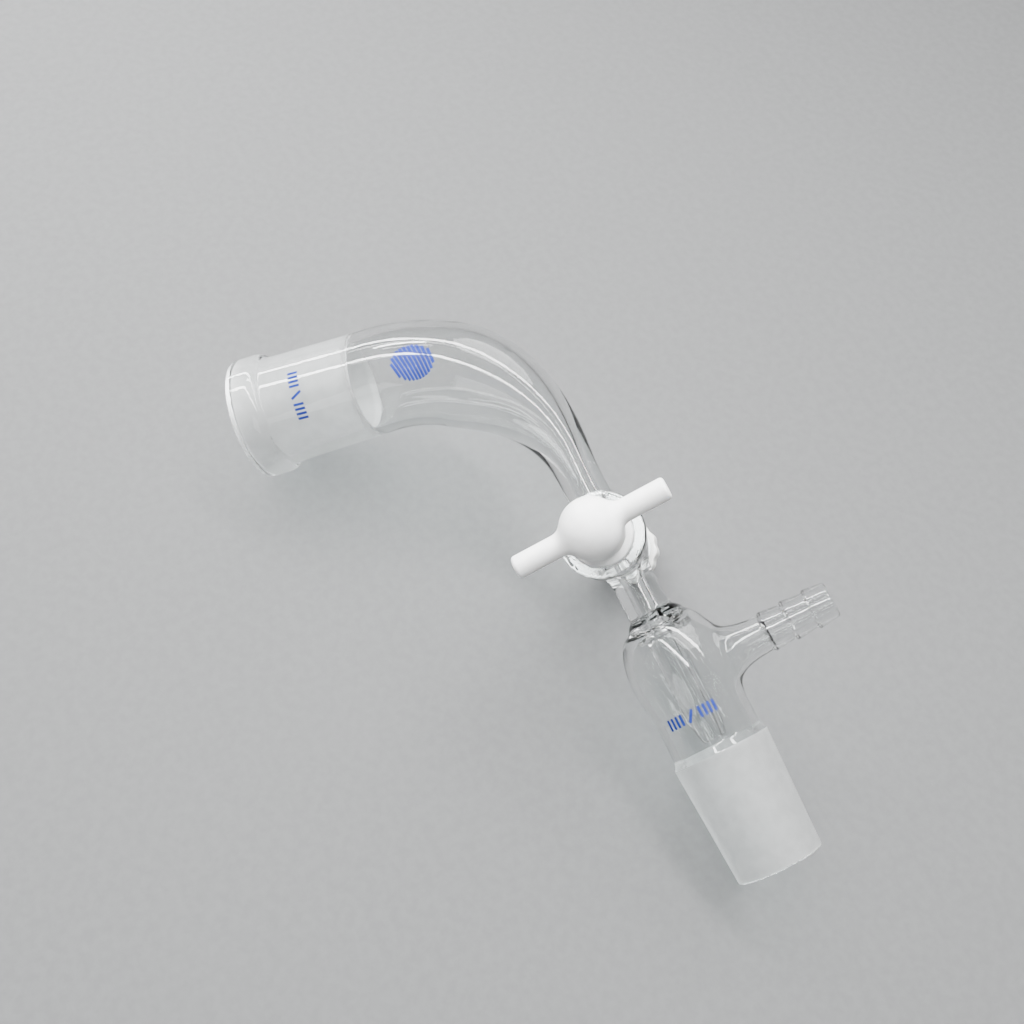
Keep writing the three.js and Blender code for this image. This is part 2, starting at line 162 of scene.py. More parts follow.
O_RING = {"middle_z": -20.1, "section": 1.1, "middle": 5.1, "section_sides": 24}
NUT = {
    "front": -21.5,
    "back": -28.0,
    "radius": 8.2,
    "flute_depth": 0.55,
    "flutes": 12,
    "corner": 0.8,
    "bore": 3.5,
}
RING_SEAL = {
    "top": -20.3,
    "bottom": -22.0,
    "top_radius": 6.2,
    "bottom_radius": 7.2,
    "fillet": 0.8,
    "top_corner": 0.5,
    "bottom_corner": 0.4,
}
BULB = {
    "tube": 11.2,
    "belly": 12.2,
    "belly_y": -34.0,
    "belly_length": 12.0,
    "shoulder_y": -22.3,
    "shoulder": 7.1,
    "wall": 1.8,
    "shoulder_steps": 24,
    "belly_steps": 12,
}
DRIP = {
    "end": -52.5,
    "radius": 4.0,
    "tip": 2.9,
    "tip_length": 5.0,
    "tip_fillet": 4.0,
    "tip_corner": 0.5,
    "bore": 2.2,
    "bore_widens": 2.0,
    "tip_bore": 1.8,
    "bore_run_out": 2.0,
}
CONE = {
    "wide_y": -55.3,
    "tip_y": -84.3,
    "wide": 12.0,
    "wide_corner": 0.35,
    "bevel": 1.8,
    "bevel_fillet": 1.0,
    "wall": 1.9,
    "polish": 0.4,
    "bore_fillet": 3.0,
    "tip_corner": 0.8,
    "bore_run_out": 1.0,
}
SIDE_ARM = {
    "y": -35.9,
    "root_x": 9.3,
    "neck_x": 21.7,
    "inner_x": 2.0,
    "overlap": 1.0,
    "neck": 4.2,
    "bore": 2.7,
    "bore_overlap": 2.0,
    "bore_reach": 4.0,  # into the bulb, past its wall
    "flare_inside": 2.0,
    "flare_height": 5.6,
    "flare_width": 2.4,
    "decay": 3.8,
}
BARB = {
    "start": 22.0,
    "overlap": 3.0,
    "ridges": 3,
    "pitch": 5.75,
    "ridge": 5.0,
    "ridge_corner": 0.25,
    "valley": 4.35,
    "valley_fillet": 0.3,
    "step": 0.35,
    "tip_corner": 0.5,
}
# Widths over which two surfaces blend where they meet
FILLET = {
    "barrel": 3.5,
    "side_arm": 2.5,
    "arm_bore": 1.5,
    "cavity_edge": 0.7,
    "drip_tube": 2.0,
    "bore_edge": 0.5,
    "tail": 0.15,
    "plug_bore": 0.4,
    "hub": 0.6,
    "bar": 1.8,
    "handle_socket": 0.3,
    "flutes": 0.3,
    "nut_bore": 0.2,
}

ARC_LENGTH = BEND["radius"] * BEND["angle"]
MOUTH = ARC_LENGTH + SOCKET["beyond_arc"]  # measured along the centreline from the start of the arc
TINY = 1e-9
SHORTEST = 1e-6  # an outline's side that counts
BEYOND_AXIS = -6.0  # outlines run past the axis they are turned about, so that the axis is no edge


# ---------------------------------------------------------------- outlines
def smooth(t):
    t = min(max(t, 0.0), 1.0)
    return t * t * (3 - 2 * t)


def mix(a, b, t):
    return a + (b - a) * t


def stations(start, end, step):
    count = max(1, round(abs(end - start) / step))
    return [mix(start, end, i / count) for i in range(count + 1)]


def rounded(outline, arc_steps=4):
    """An outline whose corners (u, v, radius) become arcs. A plain (u, v) stays a point."""
    result = []
    for i, corner in enumerate(outline):
        if len(corner) == 2:
            result.append(corner)
            continue
        here = Vector(corner[:2])
        before = (Vector(outline[i - 1][:2]) - here)
        after = (Vector(outline[(i + 1) % len(outline)][:2]) - here)
        half = before.angle(after) / 2
        reach = min(corner[2] / math.tan(half), 0.45 * before.length, 0.45 * after.length)
        radius = reach * math.tan(half)
        middle = here + (before.normalized() + after.normalized()).normalized() * radius / math.sin(half)
        first = here + before.normalized() * reach - middle
        last = here + after.normalized() * reach - middle
        for k in range(arc_steps + 1):
            spoke = first.lerp(last, k / arc_steps).normalized() * radius
            result.append(tuple(middle + spoke))
    return result


def tube_radius(s):
    """Outside radius of the bent tube, from the stem to its full width."""
    opened = smooth((s + BEND["taper_before"]) / BEND["taper_length"])
    return mix(STEM["radius"], BEND["tube"], opened)


def tube_wall(s):
    opened = smooth((s + BEND["taper_before"]) / BEND["taper_length"])
    return mix(STEM["radius"] - STEM["bore"], BEND["wall"], opened)


def tube_outline():
    """The bent tube and its socket as solid glass, as (distance from the centreline, distance along it)."""
    taper = stations(-BEND["taper_before"], BEND["taper_length"] - BEND["taper_before"], BEND["step"])
    ground_end = MOUTH - SOCKET["ground_depth"]
    collar_back = MOUTH - SOCKET["collar_length"]
    bead_front = collar_back + SOCKET["bead"]
    outline = [(BEYOND_AXIS, -BEND["start_y"]), (STEM["radius"], -BEND["start_y"])]
    outline += [(tube_radius(s), s) for s in taper]
    outline += [(SOCKET["end"], ground_end), (SOCKET["shank"], collar_back, SOCKET["shank_corner"])]
    steps = SOCKET["bead_steps"]
    for k in range(2, steps + 1):
        turn = k / steps * math.pi / 2
        rise = (SOCKET["collar"] - SOCKET["shank"]) * math.sin(turn)
        outline.append((SOCKET["shank"] + rise, bead_front - SOCKET["bead"] * math.cos(turn)))
    outline += [(SOCKET["collar"], MOUTH, SOCKET["corner"]), (BEYOND_AXIS, MOUTH)]
    return rounded(outline)


def tube_bore_outline():
    taper = stations(-BEND["taper_before"], BEND["taper_length"] - BEND["taper_before"], BEND["step"])
    ground_end = MOUTH - SOCKET["ground_depth"]
    ledge = ground_end + SOCKET["ledge"]
    ground_radius = SOCKET["mouth"] - SOCKET["ground_depth"] * GROUND_TAPER
    outline = [(BEYOND_AXIS, -BEND["start_y"]), (STEM["bore"], -BEND["start_y"])]
    outline += [(tube_radius(s) - tube_wall(s), s) for s in taper]
    outline += [
        (BEND["tube"] - BEND["wall"], ground_end, SOCKET["ledge_fillet"]),
        (ground_radius, ledge, SOCKET["ledge_fillet"]),
        (SOCKET["mouth"], MOUTH - SOCKET["corner"], SOCKET["corner"]),
        (SOCKET["mouth"] + 3 * SOCKET["corner"], MOUTH + SOCKET["corner"]),
        (BEYOND_AXIS, MOUTH + SOCKET["corner"]),
    ]
    return rounded(outline)


def barrel_outline():
    """The stopcock barrel, as (radius, Z)."""
    rim_back = BARREL["front"] - BARREL["rim_length"]
    back = BARREL["back"]
    waist = BARREL["back_radius"] + (BARREL["neck"] - BARREL["back_radius"]) / (rim_back - back)
    return rounded([
        (BEYOND_AXIS, back),
        (BARREL["back_radius"] + BARREL["lip"], back, BARREL["lip_corner"]),
        (BARREL["back_radius"] + BARREL["bead"], back + BARREL["bead_middle"], BARREL["bead_corner"]),
        (waist, back + BARREL["bead_length"], BARREL["waist_fillet"]),
        (BARREL["middle"], 0, BARREL["middle_fillet"]),
        (BARREL["neck"], rim_back - BARREL["neck_end"], BARREL["neck_fillet"]),
        (BARREL["rim"], rim_back + BARREL["rim_rise"], BARREL["rim_corner"]),
        (BARREL["rim"], BARREL["front"], BARREL["rim_corner"]),
        (BEYOND_AXIS, BARREL["front"]),
    ])


def plug_radius(z):
    return PLUG["middle"] + PLUG["taper"] * z


def barrel_bore_outline():
    low = BARREL["back"] - BARREL["bore_run_out"]
    high = BARREL["front"] + BARREL["bore_run_out"]
    return [
        (BEYOND_AXIS, low),
        (plug_radius(low) + PLUG["clearance"], low),
        (plug_radius(high) + PLUG["clearance"], high),
        (BEYOND_AXIS, high),
    ]


def bulb_profile(inset):
    """The bulb's skin from its shoulder down to the tube, as (radius, Y), moved inwards by inset."""
    profile = []
    steps = BULB["shoulder_steps"]
    for k in range(steps + 1):
        turn = (1 - k / steps) * math.pi / 2
        radius = BULB["shoulder"] + (BULB["belly"] - BULB["shoulder"]) * math.cos(turn)
        y = BULB["belly_y"] + (BULB["shoulder_y"] - inset - BULB["belly_y"]) * math.sin(turn)
        profile.append((radius - inset, y))
    steps = BULB["belly_steps"]
    for k in range(1, steps + 1):
        radius = mix(BULB["belly"], BULB["tube"], smooth(k / steps))
        profile.append((radius - inset, BULB["belly_y"] - BULB["belly_length"] * k / steps))
    return profile


def lower_outline():
    """The lower stem, ring seal, bulb and cone as solid glass, as (radius, Y)."""
    tip_radius = CONE["wide"] - (CONE["wide_y"] - CONE["tip_y"]) * GROUND_TAPER
    return rounded([
        (BEYOND_AXIS, 0),
        (STEM["radius"], 0),
        (STEM["radius"], RING_SEAL["top"] + RING_SEAL["fillet"], RING_SEAL["fillet"]),
        (RING_SEAL["top_radius"], RING_SEAL["top"], RING_SEAL["top_corner"]),
        (RING_SEAL["bottom_radius"], RING_SEAL["bottom"], RING_SEAL["bottom_corner"]),
        *bulb_profile(0),
        (BULB["tube"], CONE["wide_y"] + CONE["bevel"], CONE["bevel_fillet"]),
        (CONE["wide"], CONE["wide_y"], CONE["wide_corner"]),
        (tip_radius, CONE["tip_y"], CONE["polish"]),
        (BEYOND_AXIS, CONE["tip_y"]),
    ])


def lower_cavity_outline():
    tip_radius = CONE["wide"] - (CONE["wide_y"] - CONE["tip_y"]) * GROUND_TAPER
    bore = tip_radius - CONE["wall"]
    bore_end = CONE["tip_y"] - CONE["bore_run_out"]
    return rounded([
        (BEYOND_AXIS, BULB["shoulder_y"] - BULB["wall"]),
        *bulb_profile(BULB["wall"]),
        (BULB["tube"] - BULB["wall"], CONE["wide_y"], CONE["bore_fillet"]),
        (bore, CONE["tip_y"] + 2 * CONE["polish"], CONE["tip_corner"]),
        (bore + CONE["polish"], bore_end),
        (BEYOND_AXIS, bore_end),
    ])


def drip_outline():
    return rounded([
        (BEYOND_AXIS, RING_SEAL["bottom"]),
        (DRIP["radius"], RING_SEAL["bottom"]),
        (DRIP["radius"], DRIP["end"] + DRIP["tip_length"], DRIP["tip_fillet"]),
        (DRIP["tip"], DRIP["end"], DRIP["tip_corner"]),
        (BEYOND_AXIS, DRIP["end"]),
    ])


def drip_bore_outline():
    """The narrow way from above the barrel to the drip tube's end."""
    top = BARREL["middle"] + STEM["radius"]
    end = DRIP["end"] - DRIP["bore_run_out"]
    return [
        (BEYOND_AXIS, top),
        (STEM["bore"], top),
        (STEM["bore"], RING_SEAL["bottom"]),
        (DRIP["bore"], RING_SEAL["bottom"] - DRIP["bore_widens"]),
        (DRIP["bore"], DRIP["end"] + DRIP["tip_length"]),
        (DRIP["tip_bore"], DRIP["end"]),
        (DRIP["tip_bore"], end),
        (BEYOND_AXIS, end),
    ]


def barb_outline():
    """The hose connection, as (radius, X): each ridge steps up towards the bulb and falls away to the tip."""
    tip = BARB["start"] + BARB["ridges"] * BARB["pitch"]
    root = BARB["start"] - BARB["overlap"]
    outline = [(BEYOND_AXIS, root), (SIDE_ARM["neck"], root)]
    for i in range(BARB["ridges"]):
        x = BARB["start"] + i * BARB["pitch"]
        outline.append((BARB["valley"], x, BARB["valley_fillet"]))
        outline.append((BARB["ridge"], x + BARB["step"], BARB["ridge_corner"]))
    outline += [(BARB["valley"], tip, BARB["tip_corner"]), (BEYOND_AXIS, tip)]
    return rounded(outline)


# ---------------------------------------------------------------- distance fields
# A field takes points in mm and gives each one's distance from a surface, negative inside the solid.
FAR = 50.0


def outline_distance(u, v, outline):
    best = np.full(u.shape, np.inf)
    inside = np.zeros(u.shape, bool)
    for (au, av), (bu, bv) in zip(outline, outline[1:] + outline[:1]):
        du, dv = bu - au, bv - av
        pu, pv = u - au, v - av
        length = du * du + dv * dv
        if length < SHORTEST**2:
            continue
        t = np.clip((pu * du + pv * dv) / length, 0, 1)
        best = np.minimum(best, (pu - t * du) ** 2 + (pv - t * dv) ** 2)
        if dv:
            inside ^= ((av > v) != (bv > v)) & (u < au + pv * du / dv)
    return np.where(inside, -1, 1) * np.sqrt(best)


def blend_min(a, b, width):
    """The union of two fields, with a fillet where they meet."""
    near = np.maximum(width - np.abs(a - b), 0) / width
    return np.minimum(a, b) - near * near * width / 4


def blend_max(a, b, width):
    return -blend_min(-a, -b, width)


def turned(points, axis, outline):
    """The field of an outline turned about one axis of the drawing frame."""
    across = [k for k in range(3) if k != axis]
    radius = np.hypot(points[:, across[0]], points[:, across[1]])
    return outline_distance(radius, points[:, axis], outline)


def only_in(points, low, high, field):
    """A field worked out inside a box alone. It is FAR elsewhere."""
    chosen = np.all((points > low) & (points < high), axis=1)
    values = np.full(len(points), FAR)
    if chosen.any():
        values[chosen] = field(points[chosen])
    return values


def along_centreline(points):
    """Each point's distance from the bent tube's centreline, and its place along it."""
    x, y, z = points.T
    from_centre = x + BEND["radius"]
    above = y - BEND["start_y"]
    turn = np.arctan2(above, from_centre)
    end = np.array([math.cos(BEND["angle"]), math.sin(BEND["angle"])])
    past_arc = above * end[0] - from_centre * end[1]
    outward = from_centre * end[0] + above * end[1] - BEND["radius"]
    in_stem = above < 0
    in_socket = ~in_stem & (past_arc > 0)
    place = np.select([in_stem, in_socket], [above, ARC_LENGTH + past_arc], BEND["radius"] * turn)
    offset = np.select([in_stem, in_socket], [x, outward], np.hypot(from_centre, above) - BEND["radius"])
    return np.hypot(offset, z), place


def on_side_arm(points):
    return points - [0, SIDE_ARM["y"], 0]


def side_arm_root(points, neck, gentlest=0.02):
    """The trumpet-shaped root of the side arm, whose section is an ellipse."""
    x, y, z = on_side_arm(points).T
    flared = np.clip(x, SIDE_ARM["root_x"] - SIDE_ARM["flare_inside"], None)
    spread = np.exp((SIDE_ARM["root_x"] - flared) / SIDE_ARM["decay"])
    height = neck + SIDE_ARM["flare_height"] * spread
    width = neck + SIDE_ARM["flare_width"] * spread
    height_slope = -SIDE_ARM["flare_height"] * spread / SIDE_ARM["decay"]
    width_slope = -SIDE_ARM["flare_width"] * spread / SIDE_ARM["decay"]
    scaled = np.maximum(np.hypot(y / height, z / width), TINY)
    along = (y * y * height_slope / height**3 + z * z * width_slope / width**3) / scaled
    upwards = y / (height * height * scaled)
    sideways = z / (width * width * scaled)
    steepness = np.sqrt(upwards**2 + sideways**2 + along**2)
    radial = (scaled - 1) / np.maximum(steepness, gentlest)
    ends = np.maximum(x - SIDE_ARM["neck_x"] - SIDE_ARM["overlap"], SIDE_ARM["inner_x"] - x)
    return np.maximum(radial, ends)


TUBE, TUBE_BORE = tube_outline(), tube_bore_outline()
BARREL_SKIN, BARREL_BORE = barrel_outline(), barrel_bore_outline()
LOWER, LOWER_CAVITY = lower_outline(), lower_cavity_outline()
DRIP_SKIN, DRIP_BORE = drip_outline(), drip_bore_outline()
BARB_SKIN = barb_outline()

ABOVE = ([-90, -2, -22], [20, 100, 22])  # boxes of the drawing frame that hold each part of the glass
STOPCOCK = ([-16, -16, -22], [16, 16, 25])
BELOW = ([-18, -90, -18], [18, 6, 18])
BESIDE = ([0, -54, -14], [45, -18, 14])


def glass(points):
    """The whole of the fused glassware."""
    solid = only_in(points, *ABOVE, lambda p: outline_distance(*along_centreline(p), TUBE))
    lower = only_in(points, *BELOW, lambda p: turned(p, 1, LOWER))
    barrel = only_in(points, *STOPCOCK, lambda p: turned(p, 2, BARREL_SKIN))
    solid = blend_min(np.minimum(solid, lower), barrel, FILLET["barrel"])
    root = only_in(points, *BESIDE, lambda p: side_arm_root(p, SIDE_ARM["neck"]))
    solid = blend_min(solid, root, FILLET["side_arm"])
    barb = only_in(points, *BESIDE, lambda p: turned(on_side_arm(p), 0, BARB_SKIN))
    solid = np.minimum(solid, barb)

    hollow = only_in(points, *ABOVE, lambda p: outline_distance(*along_centreline(p), TUBE_BORE))
    hollow = np.minimum(hollow, only_in(points, *BELOW, lambda p: turned(p, 1, LOWER_CAVITY)))
    arm_bore = only_in(points, *BESIDE, side_arm_bore)
    hollow = blend_min(hollow, arm_bore, FILLET["arm_bore"])
    solid = blend_max(solid, -hollow, FILLET["cavity_edge"])

    drip = only_in(points, *BELOW, lambda p: turned(p, 1, DRIP_SKIN))
    solid = blend_min(solid, drip, FILLET["drip_tube"])
    drip_bore = only_in(points, *BELOW, lambda p: turned(p, 1, DRIP_BORE))
    solid = blend_max(solid, -drip_bore, FILLET["bore_edge"])
    barrel_bore = only_in(points, *STOPCOCK, lambda p: turned(p, 2, BARREL_BORE))
    return blend_max(solid, -barrel_bore, FILLET["bore_edge"])


def side_arm_bore(points):
    x, y, z = on_side_arm(points).T
    root = side_arm_root(points, SIDE_ARM["bore"])
    straight_start = SIDE_ARM["neck_x"] - SIDE_ARM["bore_overlap"]
    straight = np.maximum(np.hypot(y, z) - SIDE_ARM["bore"], straight_start - x)
    past_bulb = BULB["belly"] - BULB["wall"] - SIDE_ARM["bore_reach"] - x
    return np.maximum(np.minimum(root, straight), past_bulb)


THREAD = {"flank": 1.5, "crest": 0.25, "steepest": 0.85}  # flank and crest as shares of the pitch


def threaded(points, radius):
    """Distance from a screw thread about Z, whose crests stand at the radius."""
    x, y, z = points.T
    turns = z / PLUG["thread_pitch"] - np.arctan2(y, x) / (2 * math.pi)
    groove = np.abs(turns - np.floor(turns) - 0.5) * 2
    groove = np.clip(THREAD["flank"] * groove - THREAD["crest"], 0, 1)
    return (np.hypot(x, y) - radius + PLUG["thread_depth"] * groove) * THREAD["steepest"]


PLUG_SKIN = rounded([
    (BEYOND_AXIS, PLUG["back"]),
    (plug_radius(PLUG["back"]), PLUG["back"], PLUG["back_corner"]),
    (plug_radius(PLUG["front"]), PLUG["front"], PLUG["front_corner"]),
    (PLUG["neck"], PLUG["front"], PLUG["neck_fillet"]),
    (PLUG["neck"], PLUG["neck_end"], PLUG["step_corner"]),
    (PLUG["spigot"], PLUG["neck_end"], PLUG["step_corner"]),
    (PLUG["spigot"], PLUG["spigot_end"], PLUG["spigot_corner"]),
    (BEYOND_AXIS, PLUG["spigot_end"]),
])
TAIL_SKIN = rounded([
    (BEYOND_AXIS, PLUG["back"] + PLUG["tail_root"]),
    (PLUG["tail"], PLUG["back"] + PLUG["tail_root"]),
    (PLUG["tail"], PLUG["tail_end"], PLUG["tail_corner"]),
    (BEYOND_AXIS, PLUG["tail_end"]),
])


def plug(points):
    _, y, z = points.T
    tail = blend_max(turned(points, 2, TAIL_SKIN), threaded(points, PLUG["tail"]), FILLET["tail"])
    solid = np.minimum(turned(points, 2, PLUG_SKIN), tail)
    return blend_max(solid, PLUG["bore"] - np.hypot(y, z), FILLET["plug_bore"])


HUB_SKIN = rounded([
    (BEYOND_AXIS, HANDLE["hub_start"]),
    (HANDLE["hub"], HANDLE["hub_start"], HANDLE["hub_corner"]),
    (HANDLE["hub"], HANDLE["bar_height"]),
    (BEYOND_AXIS, HANDLE["bar_height"]),
])
BAR_SKIN = rounded([
    (BEYOND_AXIS, -HANDLE["bar_length"] / 2),
    (HANDLE["bar"], -HANDLE["bar_length"] / 2, HANDLE["corner"]),
    (HANDLE["bar"], HANDLE["bar_length"] / 2, HANDLE["corner"]),
    (BEYOND_AXIS, HANDLE["bar_length"] / 2),
])


def handle(points):
    raised = points - [0, 0, HANDLE["bar_height"]]
    ball = np.linalg.norm(raised, axis=1) - HANDLE["ball"]
    solid = blend_min(ball, turned(points, 2, HUB_SKIN), FILLET["hub"])
    solid = blend_min(solid, turned(raised, 0, BAR_SKIN), FILLET["bar"])
    x, y, z = points.T
    bore = np.maximum(np.hypot(x, y) - HANDLE["socket"], z - HANDLE["socket_end"])
    return blend_max(solid, -bore, FILLET["handle_socket"])


NUT_SKIN = rounded([
    (BEYOND_AXIS, NUT["back"]),
    (NUT["radius"], NUT["back"], NUT["corner"]),
    (NUT["radius"], NUT["front"], NUT["corner"]),
    (BEYOND_AXIS, NUT["front"]),
])


def nut(points, steepest=0.97):
    x, y, _ = points.T
    wave = (1 - np.cos(NUT["flutes"] * np.arctan2(y, x))) / 2
    flutes = (np.hypot(x, y) - NUT["radius"] + NUT["flute_depth"] * wave) * steepest
    solid = blend_max(turned(points, 2, NUT_SKIN), flutes, FILLET["flutes"])
    thread = threaded(points, NUT["bore"] + PLUG["thread_depth"])
    return blend_max(solid, -thread, FILLET["nut_bore"])


# ---------------------------------------------------------------- meshes from fields
def grid_lines(*runs):
    """Grid positions along one axis, from runs of (start, end, step)."""
    lines = [np.linspace(a, b, max(2, round((b - a) / step) + 1)) for a, b, step in runs]
    return np.unique(np.concatenate(lines).round(6))


def unit(axis):
    return np.eye(3, dtype=int)[axis]


def surface_net(field, lines):
    """Quads round a field's surface: a point in each grid cell that it crosses, joined across grid edges."""
    grid = np.stack(np.meshgrid(*lines, indexing="ij"), -1)
    values = field(grid.reshape(-1, 3)).reshape(grid.shape[:3])
    inside = values < 0
    cells_along = np.array(inside.shape) - 1
    corners = [np.array((i, j, k)) for i in (0, 1) for j in (0, 1) for k in (0, 1)]

    def corner_of_cells(corner):
        return inside[tuple(slice(c, c + n) for c, n in zip(corner, cells_along))]

    filled = sum(corner_of_cells(corner).astype(int) for corner in corners)
    crossed = (filled > 0) & (filled < len(corners))
    cells = np.argwhere(crossed)
    number = np.full(crossed.shape, -1)
    number[crossed] = np.arange(len(cells))
    total = np.zeros((len(cells), 3))
    crossings = np.zeros(len(cells))
    for axis in range(3):
        for corner in corners:
            if corner[axis]:
                continue
            near = tuple((cells + corner).T)
            far = tuple((cells + corner + unit(axis)).T)
            a, b = values[near], values[far]
            meets = (a < 0) != (b < 0)
            share = np.where(meets, a / np.where(meets, a - b, 1), 0)
            point = grid[near] + share[:, None] * (grid[far] - grid[near])
            total += point * meets[:, None]
            crossings += meets
    vertices = total / crossings[:, None]

    quads = []
    for axis in range(3):
        u, v = (axis + 1) % 3, (axis + 2) % 3
        low = inside[tuple(slice(0, -1) if k == axis else slice(None) for k in range(3))]
        high = inside[tuple(slice(1, None) if k == axis else slice(None) for k in range(3))]
        edges = np.argwhere(low != high)
        ring = [-unit(u) - unit(v), -unit(v), 0 * unit(u), -unit(u)]
        quad = np.stack([number[tuple((edges + step).T)] for step in ring], 1)
        leaving = low[tuple(edges.T)]
        quads.append(np.where(leaving[:, None], quad, quad[:, ::-1]))
    return vertices, np.concatenate(quads)


def slope(points, field, reach=0.02):
    """A field's gradient, from the points just either side."""
    gradient = np.empty_like(points)
    for axis in range(3):
        step = reach * unit(axis)
        gradient[:, axis] = (field(points + step) - field(points - step)) / (2 * reach)
    return gradient


def onto_surface(points, field, rounds=3, furthest=0.3, gentlest=0.04):
    """The points moved down a field's slope until they lie on its surface."""
    for _ in range(rounds):
        gradient = slope(points, field)
        steepness = np.maximum((gradient**2).sum(1), gentlest)
        move = -gradient * (field(points) / steepness)[:, None]
        length = np.maximum(np.linalg.norm(move, axis=1), TINY)
        points = points + move * np.minimum(1, furthest / length)[:, None]
    return points


def make_piece(name, vertices, faces, *materials):
    """A smooth-shaded object from vertices in mm in the drawing frame."""
    mesh = bpy.data.meshes.new(name)
    mesh.from_pydata(to_bench(vertices).tolist(), [], [list(map(int, face)) for face in faces])
    mesh.validate()
    for material in materials:
        mesh.materials.append(material)
    mesh.shade_smooth()
    piece = bpy.data.objects.new(name, mesh)
    bpy.context.scene.collection.objects.link(piece)
    return piece


def drawing_points(mesh):
    """A mesh's vertices in the drawing frame, in mm."""
    flat = np.empty(3 * len(mesh.vertices))
    mesh.vertices.foreach_get("co", flat)
    return (flat.reshape(-1, 3) - ORIGIN) @ AXES.T / MM


def normals_from(piece, field):
    """Shade a piece with the true normals of the field that its surface follows."""
    gradient = slope(drawing_points(piece.data), field)
    normals = gradient / np.maximum(np.linalg.norm(gradient, axis=1), TINY)[:, None]
    piece.data.normals_split_custom_set_from_vertices((normals @ AXES).tolist())


def field_piece(name, field, lines, *materials):
    vertices, faces = surface_net(field, lines)
    return make_piece(name, onto_surface(vertices, field), faces, *materials)


def lathe_piece(name, outline, sides, material):
    """A closed outline of (radius, Z) turned about the stopcock's axis."""
    vertices = []
    for k in range(sides):
        turn = 2 * math.pi * k / sides
        vertices += [(r * math.cos(turn), r * math.sin(turn), z) for r, z in outline]
    count = len(outline)
    faces = []
    for k in range(sides):
        for i in range(count):
            here, beside = k * count, (k + 1) % sides * count
            following = (i + 1) % count
            faces.append((here + i, beside + i, beside + following, here + following))
    return make_piece(name, np.array(vertices), faces, material)


# ---------------------------------------------------------------- material helpers
def new_material(name):
    material = bpy.data.materials.new(name)
    material.use_nodes = True
    tree = material.node_tree
    return material, tree, tree.nodes["Principled BSDF"]


def add_node(tree, kind, **inputs):
    node = tree.nodes.new("ShaderNode" + kind)
    for name, value in inputs.items():
        node.inputs[name.replace("_", " ")].default_value = value
    return node


def object_noise(tree, scale, detail=3.0, stretch=(1, 1, 1)):
    """Noise fixed to the object, in millimetres, so that scale is features per mm."""
    place = add_node(tree, "TexCoord")
    mapping = add_node(tree, "Mapping", Scale=[component / MM for component in stretch])
    noise = add_node(tree, "TexNoise", Scale=scale, Detail=detail)
    tree.links.new(place.outputs["Object"], mapping.inputs["Vector"])
    tree.links.new(mapping.outputs["Vector"], noise.inputs["Vector"])
    return noise.outputs["Fac"]


def roughness_between(tree, shader, source, low, high):
    node = add_node(tree, "MapRange", To_Min=low, To_Max=high)
    tree.links.new(source, node.inputs["Value"])
    tree.links.new(node.outputs["Result"], shader.inputs["Roughness"])


def colour_between(tree, shader, source, first, second, low=0.35, high=0.65):
    ramp = tree.nodes.new("ShaderNodeValToRGB")
    for element, position, colour in zip(ramp.color_ramp.elements, (low, high), (first, second)):
        element.position = position
        element.color = (*colour, 1)
    tree.links.new(source, ramp.inputs["Fac"])
    tree.links.new(ramp.outputs["Color"], shader.inputs["Base Color"])


def add_bump(tree, shader, height, strength, distance):
    bump = add_node(tree, "Bump", Strength=strength, Distance=distance)
    tree.links.new(height, bump.inputs["Height"])
    tree.links.new(bump.outputs["Normal"], shader.inputs["Normal"])


def let_lamps_through(tree, shader, tint):
    """Shadow rays pass straight through and are tinted, so that glass casts a light shadow."""
    path = tree.nodes.new("ShaderNodeLightPath")
    clear = add_node(tree, "BsdfTransparent", Color=(*tint, 1))
    mixer = tree.nodes.new("ShaderNodeMixShader")
    tree.links.new(path.outputs["Is Shadow Ray"], mixer.inputs[0])
    tree.links.new(shader.outputs[0], mixer.inputs[1])
    tree.links.new(clear.outputs[0], mixer.inputs[2])
    tree.links.new(mixer.outputs[0], tree.nodes["Material Output"].inputs["Surface"])


# ---------------------------------------------------------------- materials
GLASS_IOR = 1.47


def clear_glass():
    """Drawn borosilicate: clean and sharp, with very faint ripples left by the flame."""
    material, tree, shader = new_material("clear_glass")
    shader.inputs["Transmission Weight"].default_value = 1
    shader.inputs["IOR"].default_value = GLASS_IOR
    ripple = object_noise(tree, 0.12, detail=1.0)
    colour_between(tree, shader, ripple, (0.948, 0.96, 0.958), (0.966, 0.976, 0.974))
    roughness_between(tree, shader, object_noise(tree, 0.5), 0.0, 0.02)
    add_bump(tree, shader, ripple, 0.12, 0.0004)
    let_lamps_through(tree, shader, (0.8, 0.82, 0.82))
    return material


def ground_glass():
    """Ground joint faces: an even grey frost with a fine grit."""
    material, tree, shader = new_material("ground_glass")
    shader.inputs["Transmission Weight"].default_value = 0.7
    shader.inputs["IOR"].default_value = GLASS_IOR
    grit = object_noise(tree, 5.0, detail=4.0)
    cloud = object_noise(tree, 0.35, detail=2.0)
    colour_between(tree, shader, cloud, (0.43, 0.437, 0.437), (0.5, 0.507, 0.507))
    roughness_between(tree, shader, grit, 0.42, 0.6)
    add_bump(tree, shader, grit, 0.35, 0.00006)
    let_lamps_through(tree, shader, (0.62, 0.64, 0.64))
    return material


